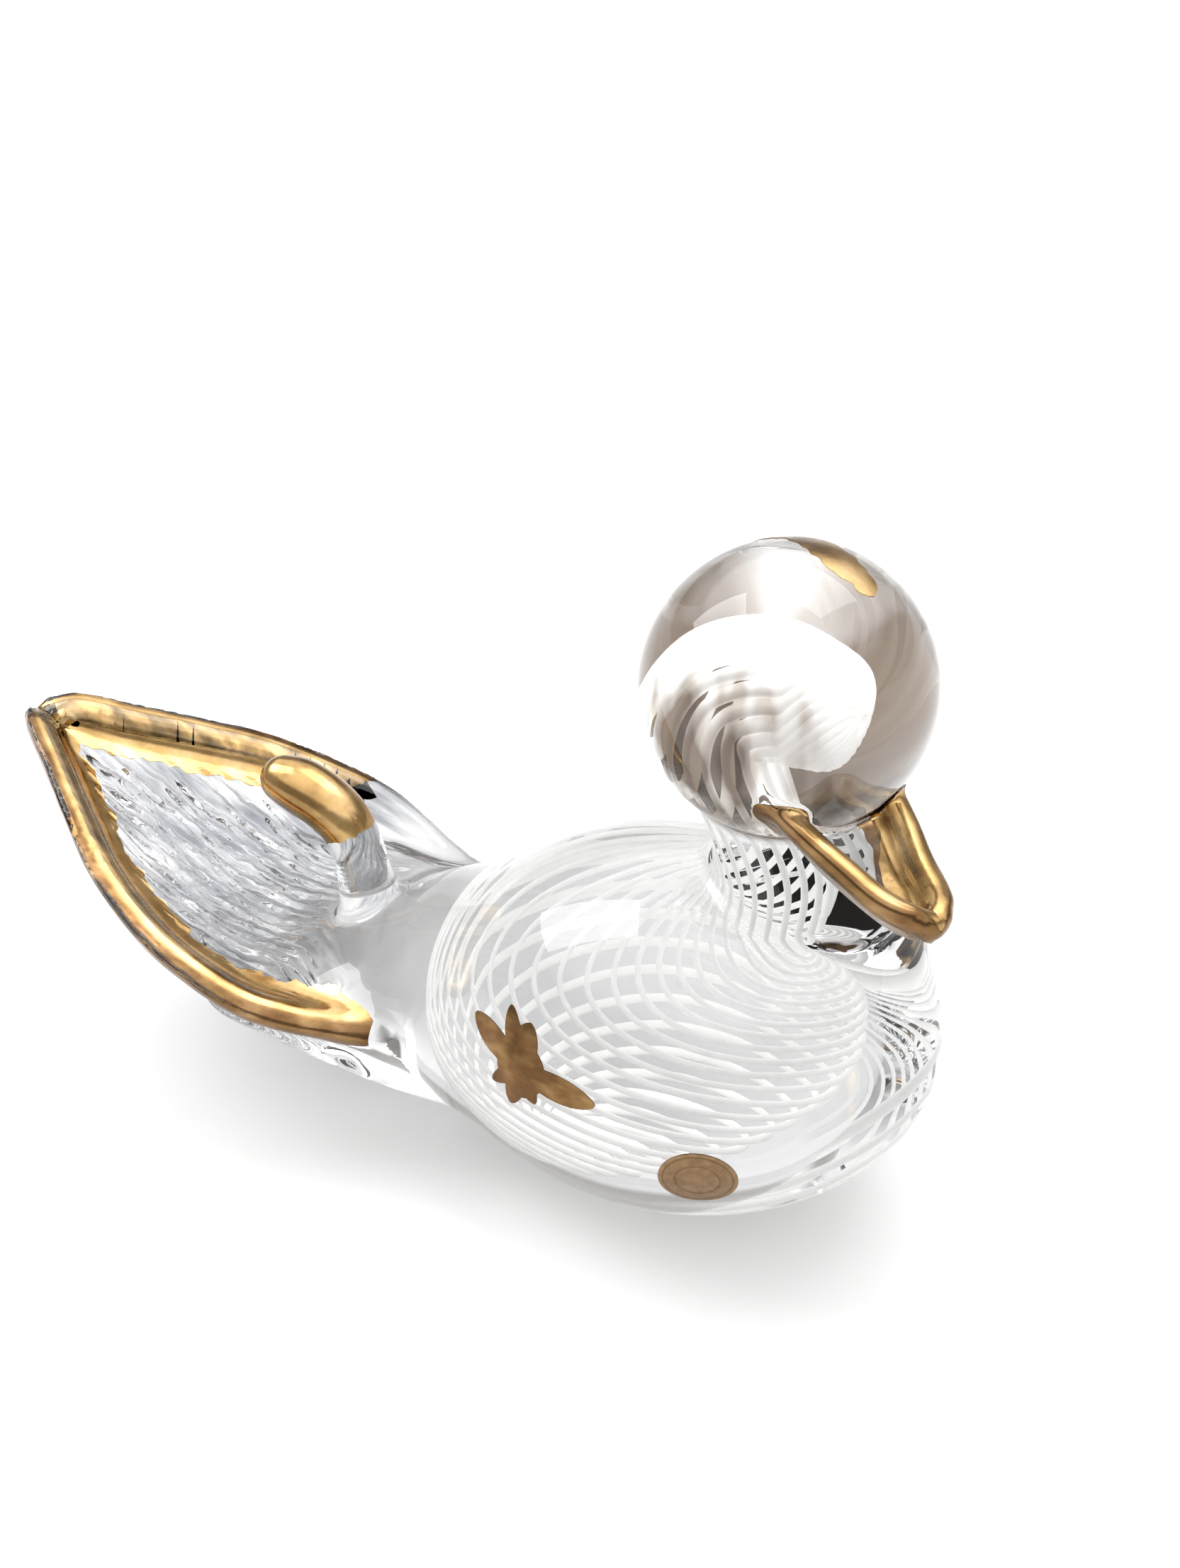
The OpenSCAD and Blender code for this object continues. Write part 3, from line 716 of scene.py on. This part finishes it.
# ---------------------------------------------------------------- white canes
def tube(name, path, radii, sides=12):
    """A round tube along a path, closed at both ends by flat caps."""
    along = unit(np.gradient(path, axis=0))
    side = unit(np.cross(along[0], [0.3, 0.2, 1.0]))
    rings = []
    for centre, ahead, radius in zip(path, along, radii):
        side = unit(side - (side @ ahead) * ahead)
        other = np.cross(ahead, side)
        angle = 2 * math.pi * np.arange(sides) / sides
        rings.append(centre + radius * (np.cos(angle)[:, None] * side + np.sin(angle)[:, None] * other))
    count = len(rings)
    faces = grid_faces(count, sides, 0, True)
    faces += [list(range(sides)), [(count - 1) * sides + j for j in reversed(range(sides))]]
    return make_mesh(name, np.concatenate(rings), faces)


def turn_at(t):
    """How far a cane has turned round the core at position t: little in the neck, most in the body."""
    u = np.clip((NECK_BASE - t) / NECK_BASE, 0, 1)
    return CANE_TWIST * u ** 1.1 - 0.12 * np.clip(t - NECK_BASE, 0, 8) - 0.9 * np.clip(t - 14.5, 0, 4)


def build_canes():
    """The white threads just under the core's surface, twisted in the body and gathered in the head."""
    last = len(CORE_ROWS) - 1
    t = np.concatenate([np.linspace(0.12, NECK_BASE, 230), np.linspace(NECK_BASE, last - 0.1, 110)[1:]])
    swell = 1 + 1.1 * np.clip((t - 12) / 2.0, 0, 1)
    ends = np.minimum(1, 0.25 + np.minimum(t - t[0], t[-1] - t) / 0.15)
    for k in range(CANE_N):
        phase = 2 * math.pi * (k + 1) / CANE_N
        path = on_core(t, phase + turn_at(t), -CANE_DEPTH)
        piece = tube(f"thread_{k + 1:02d}", path, CANE_R * swell * ends)
        piece_of(piece, [f"cane_{k + 1:02d}"], THREAD)


build_canes()


# ---------------------------------------------------------------- gold
def in_head(q):
    """Points of the head's own frame in the shared one."""
    return HEAD + q @ HEAD_TURN.T


def build_crown():
    """The stripe of lustre over the top of the head."""
    lean = np.radians(np.linspace(-36, 34, 60))
    share = np.linspace(-1, 1, 13)
    along = np.linspace(-1, 1, len(lean))
    half = CROWN_HALF * np.sqrt(np.clip(1 - along ** 4, 0.01, 1)) + wander(along * 3, 3, 0.25)
    shift = wander(along * 2.2, 8, 0.5)
    y = share[None] * half[:, None] + shift[:, None]
    angle = np.arcsin(y / HEAD_R)
    grid = HEAD_R * np.stack([np.sin(lean)[:, None] * np.cos(angle), np.sin(angle),
                              np.cos(lean)[:, None] * np.cos(angle)], -1)
    # painted light along the stripe: painted shade, brown, at its back end, lit gold towards the bill
    thick = (0.1 + 1.1 * np.clip(along + 0.2, 0, 1))[:, None] + 0 * y
    film("crown_gold_film", in_head(grid), ["crown_gold"], GOLD, thick)


def bill_gold(name, side, seed):
    """Lustre on one arm of the bill: its outer side and inner slope, closing all round towards the tip."""
    t = np.linspace(0.75, BILL_T[-1], 46)
    row = curve(BILL_ROWS, t)
    centre, radius = bill_rim(t)
    closing = np.clip((t - 1.9) / 1.3, 0, 1)
    depth = ((0.4 + wander(t, seed, 0.05)) * (1 - closing) + closing)[:, None]

    def slope(share, level, lift):
        """A row of points from the rim's rod towards the middle, along the floor or the keel."""
        y = centre[:, 1:2] * (1 - share * depth)
        v = y / row[:, 1:2]
        z = level + (row[:, 2:3] - level) * v ** 2 + lift
        return np.stack([row[:, :1] + 0 * y, np.maximum(y, 0.03), z], -1)

    angle = np.radians(np.linspace(-55, 135, 20))[None]
    arc = np.stack([row[:, :1] + 0 * angle, centre[:, 1:2] + (radius + 0.9)[:, None] * np.cos(angle),
                    centre[:, 2:] + (radius + 0.9)[:, None] * np.sin(angle)], -1)
    arc[:, :, 1] = np.maximum(arc[:, :, 1], 0.03)
    under = slope(np.linspace(1, 0.1, 9)[None], row[:, 4:5], -0.5)
    floor = slope(np.linspace(0.22, 1, 9)[None], row[:, 3:4], 0.8)
    grid = np.concatenate([under, arc, floor], 1)
    # painted light: the under side and outer side of the arm are painted in shade, brown, the inner slope and
    # floor lit gold
    lit = np.clip((angle - 0.75) / 0.4, SHADED_GOLD, 1) + 0 * arc[:, :, 0]
    thick = np.concatenate([0 * under[:, :, 0] + SHADED_GOLD, lit, 0 * floor[:, :, 0] + 1], 1)
    tip = np.array([grid[-1, 0, 0], 0, grid[-1, :, 2].mean()])
    end = [tip + math.cos(a) * (grid[-1] - tip) + [1.6 * math.sin(a), 0, 0]
           for a in np.radians([25, 50, 72, 87])]
    grid = np.concatenate([grid, np.stack(end)]) * [1, side, 1]
    thick = np.concatenate([thick, np.repeat(thick[-1:], len(end), 0)])
    film(name, in_head(grid), ["bill_gold"], GOLD, thick)


def rim_gold(name, start, seed, side):
    """Lustre along one rim of the tail: round the rod and in over the floor, from start to the tip."""
    t = np.linspace(start, RIM_T[-1], 130)
    centre, radius = rim_points(t), rim_radius(t)
    row = curve(TAIL_ROWS, t)
    half = TAIL_W * row[:, 1]
    reach = np.clip((t - start) / 1.4, 0.01, 1) ** 0.6
    low = np.radians(-95) * reach + wander(t, seed, 0.12)
    angle = low[:, None] + (math.pi / 2 - low)[:, None] * np.linspace(0, 1, 14)[None]
    round_it = np.stack([centre[:, :1] + 0 * angle, centre[:, 1:2] + radius[:, None] * np.cos(angle),
                         centre[:, 2:] + radius[:, None] * np.sin(angle)], -1)
    band = np.minimum((RIM_BAND + wander(t * 3, seed + 1, 0.8)) * reach, centre[:, 1] - 0.03)
    inward = np.linspace(0, 1, 13)[1:]
    y = centre[:, 1:2] - band[:, None] * inward
    v = y / half[:, None]
    floor = TAIL_ROOT[2] + row[:, 3:4] + (row[:, 2:3] - row[:, 3:4]) * v ** 2 + 0.3
    slope = np.stack([centre[:, :1] + 0 * y, y, np.minimum(floor, round_it[:, -1, 2:])], -1)
    grid = np.concatenate([round_it, slope], 1)
    tip = np.array([centre[-1, 0], 0, centre[-1, 2]])
    end = [tip + math.cos(a) * (grid[-1] - tip) - [RIM_R * math.sin(a), 0, 0]
           for a in np.radians([30, 60, 85])]
    # painted light: the rod is painted in shade, brown, except over its top, the inner slope is lit gold, and
    # all of it is shaded near the band's start
    lit = np.concatenate([np.clip((angle - 0.95) / 0.4, 0.08, 1), np.ones_like(y)], 1)
    thick = lit * np.clip(0.2 + (t - start) / 1.2, 0.2, 1)[:, None]
    thick = np.concatenate([thick, np.repeat(thick[-1:], len(end), 0)])
    film(name, np.concatenate([grid, np.stack(end)]) * [1, side, 1], ["tail_rim_gold"], GOLD, thick)


def build_curl_gold():
    """The gilded upper part of the curl."""
    t = np.linspace(CURL_GOLD_FROM, CURL_T[-1], 30)
    centre, radius = curl_path(t)
    ahead = unit(curl_path(t + 0.05)[0] - curl_path(t - 0.05)[0])
    side = np.array([0.0, 1.0, 0.0])
    angle = np.linspace(0, 2 * math.pi, 33)[:-1]
    up = np.cross(ahead, side)
    around = np.cos(angle)[None, :, None] * up[:, None] + np.sin(angle)[None, :, None] * side
    grid = centre[:, None] + radius[:, None, None] * around
    grid[0] += ahead[0] * wander(np.cos(angle) * 2, 21, 0.8)[:, None]
    end = [centre[-1] + radius[-1] * (math.cos(a) * around[-1] + math.sin(a) * ahead[-1])
           for a in np.radians([18, 36, 54, 72, 86, 89.8])]
    grid = np.concatenate([grid, np.stack(end)])
    # painted light round the curl: streaks of painted shade, brown, between lit gold
    thick = np.clip(0.75 + wander(3 * angle, 17, 0.5), 0.15, 1)[None] + 0 * grid[:, :, 0]
    film("curl_gold_film", grid, ["curl_gold"], GOLD, thick, wrap=True, rounds=4)


def on_egg(direction):
    """Points on the body in its own frame, in the given directions."""
    d = unit(direction)
    return d / np.linalg.norm(d / [BODY_A, BODY_B, BODY_B], axis=-1, keepdims=True)


def egg_patch(centre, reach, rings):
    """A polar grid on the body round a direction, whose edge is reach(angle) from its middle."""
    p = on_egg(np.array(centre, float))
    u = unit(np.cross([0, 0, 1], p))
    v = unit(np.cross(p, u))
    angle = np.linspace(0, 2 * math.pi, len(reach) + 1)[:-1]
    shares = np.linspace(0.004, 1, rings)
    flat = np.cos(angle)[:, None] * u + np.sin(angle)[:, None] * v
    return on_egg(p + (shares[:, None] * reach)[..., None] * flat[None]) @ BODY_TURN.T + BODY, shares


# Leaf lobes: direction in degrees, length (share of MOTIF_L), width in degrees
LEAF = np.array([[154, 0.52, 26], [112, 0.42, 24], [84, 0.33, 50], [-8, 0.62, 24],
                 [-60, 0.25, 40], [-108, 0.3, 38], [-146, 0.3, 28]])
LEAF_HEART = 0.2
MOTIF_L = 24.0
MOTIF_PLACE = np.array([-13.2, -30.6, 9.5])
LABEL_PLACE = [0.401, -0.898, -0.181]
LABEL_R = 6.0


def build_motifs():
    """The leaf of lustre on each side of the body, painted in shade as brown."""
    angle = np.linspace(0, 360, 145)[:-1]
    away = np.abs((angle[:, None] - LEAF[None, :, 0] + 540) % 360 - 180)
    lobes = (LEAF[:, 1] * np.exp(-(away / LEAF[:, 2]) ** 1.5)).max(axis=1)
    reach = MOTIF_L * np.maximum(lobes, LEAF_HEART)
    reach = reach + wander(np.radians(angle), 31, 0.15)
    grid, _ = egg_patch(MOTIF_PLACE, reach, 14)
    # painted shade: the leaves are brown, standing for the dark surroundings they reflect
    film("motif_gold_right", grid, ["motif_right_gold"], GOLD, 0.05, wrap=True, rounds=3)
    film("motif_gold_left", grid * [1, -1, 1], ["motif_left_gold"], GOLD, 0.05, wrap=True, rounds=3)


def build_label():
    """A plain round foil sticker with two raised rings, its markings left out."""
    grid, shares = egg_patch(LABEL_PLACE, np.full(72, LABEL_R), 40)
    share = np.repeat(shares, 72)
    bead = np.exp(-((share - 0.95) / 0.03) ** 2) + np.exp(-((share - 0.58) / 0.03) ** 2)
    raised = 0.12 + 0.06 * bead
    piece = film("foil_sticker", grid, ["foil_label"], FOIL, 0, wrap=True, out=raised, rounds=3)
    store = piece.data.attributes.new("share", "FLOAT", "POINT")
    store.data.foreach_set("value", np.concatenate([share, share]).astype(np.float32))


build_crown()
bill_gold("bill_gold_right", -1, 5)
bill_gold("bill_gold_left", 1, 6)
rim_gold("rim_gold_right", 0.3, 11, -1)
rim_gold("rim_gold_left", 4.4, 14, 1)
build_curl_gold()
build_motifs()
build_label()


# ---------------------------------------------------------------- stage, light and camera
def build_floor():
    """A plain pale floor under the duck."""
    reach, steps, drop = 4000.0, 9, 0.02
    line = np.linspace(-reach, reach, steps)
    points = [[x, y, -drop] for x in line for y in line]
    faces = [face[::-1] for face in grid_faces(steps, steps)]
    floor = make_mesh("floor", points, faces)
    material, tree, shader = new_material("pale_floor")
    colour = blend_colours(tree, noise(tree, 3), [(0.3, (0.72, 0.72, 0.72)), (0.7, (0.76, 0.76, 0.76))])
    tree.links.new(colour, shader.inputs["Base Color"])
    shader.inputs["Roughness"].default_value = 0.9
    shader.inputs["Specular IOR Level"].default_value = 0.1
    floor.data.materials.append(material)


def build_world():
    """A bright room: white overhead and below, with a darker band of walls; the front is dark lower down."""
    world = bpy.data.worlds.new("studio")
    bpy.context.scene.world = world
    world.use_nodes = True
    tree = world.node_tree
    background = tree.nodes["Background"]
    place = node(tree, "ShaderNodeTexCoord")
    split = node(tree, "ShaderNodeSeparateXYZ")
    tree.links.new(place.outputs["Generated"], split.inputs[0])
    white, bright, brightest = (1, 1, 1), (1.5, 1.5, 1.5), (2.0, 2.0, 2.0)
    wall = (0.42, 0.40, 0.38)
    height = blend_colours(tree, split.outputs["Z"],
                           [(0.0, white), (0.12, white), (0.18, wall), (0.50, (0.34, 0.32, 0.31)),
                            (0.60, bright), (1.0, brightest)])
    front = blend_colours(tree, split.outputs["Z"],
                          [(0.0, wall), (0.42, (0.36, 0.34, 0.33)), (0.56, bright), (1.0, brightest)])
    side = node(tree, "ShaderNodeMath", operation="MULTIPLY")
    side.inputs[1].default_value = -1
    tree.links.new(split.outputs["Y"], side.inputs[0])
    in_front = spread(tree, side.outputs[0], 0, 1, -0.1, 0.35)
    tree.links.new(choose(tree, in_front, height, front), background.inputs["Color"])
    background.inputs["Strength"].default_value = 1.0


def add_light(name, place, target, size, power):
    """A soft rectangular lamp, sizes in millimetres."""
    data = bpy.data.lights.new(name, "AREA")
    data.shape = "RECTANGLE"
    data.size, data.size_y = (s * MM for s in size)
    data.energy = power
    lamp = bpy.data.objects.new(name, data)
    bpy.context.scene.collection.objects.link(lamp)
    lamp.location = np.array(place) * MM
    ahead = unit(np.array(target, float) - place)
    side = unit(np.cross(ahead, [0, 0, 1]))
    up = np.cross(side, ahead)
    lamp.rotation_euler = Matrix(np.stack([side, up, -ahead], 1).tolist()).to_euler()


CAMERA_PLACE = np.array([52.98, -151.31, 168.04])
CAMERA_TILT = math.radians(60)
CAMERA_YAW = math.radians(23)
CAMERA_LENS = 27.15
DUCK_MIDDLE = [0, 0, 40]


def build_camera():
    """The photograph's viewpoint: from the front right, above the duck."""
    data = bpy.data.cameras.new("camera")
    data.sensor_width = 36
    data.lens = CAMERA_LENS
    data.clip_start, data.clip_end = 0.005, 20
    camera = bpy.data.objects.new("camera", data)
    camera.location = CAMERA_PLACE * MM
    camera.rotation_euler = (CAMERA_TILT, 0, CAMERA_YAW)
    bpy.context.scene.collection.objects.link(camera)
    bpy.context.scene.camera = camera


build_floor()
build_world()
add_light("window", [-420, -60, 520], DUCK_MIDDLE, (260, 380), 1.3)
add_light("top", [60, 200, 700], DUCK_MIDDLE, (500, 400), 1.5)
build_camera()
bpy.context.scene.view_settings.view_transform = "Standard"
bpy.context.scene.view_settings.exposure = 0.12
# Light crosses the skin and up to 20 threads before it leaves the glass
GLASS_BOUNCES = 26
bpy.context.scene.cycles.max_bounces = GLASS_BOUNCES
bpy.context.scene.cycles.transmission_bounces = GLASS_BOUNCES
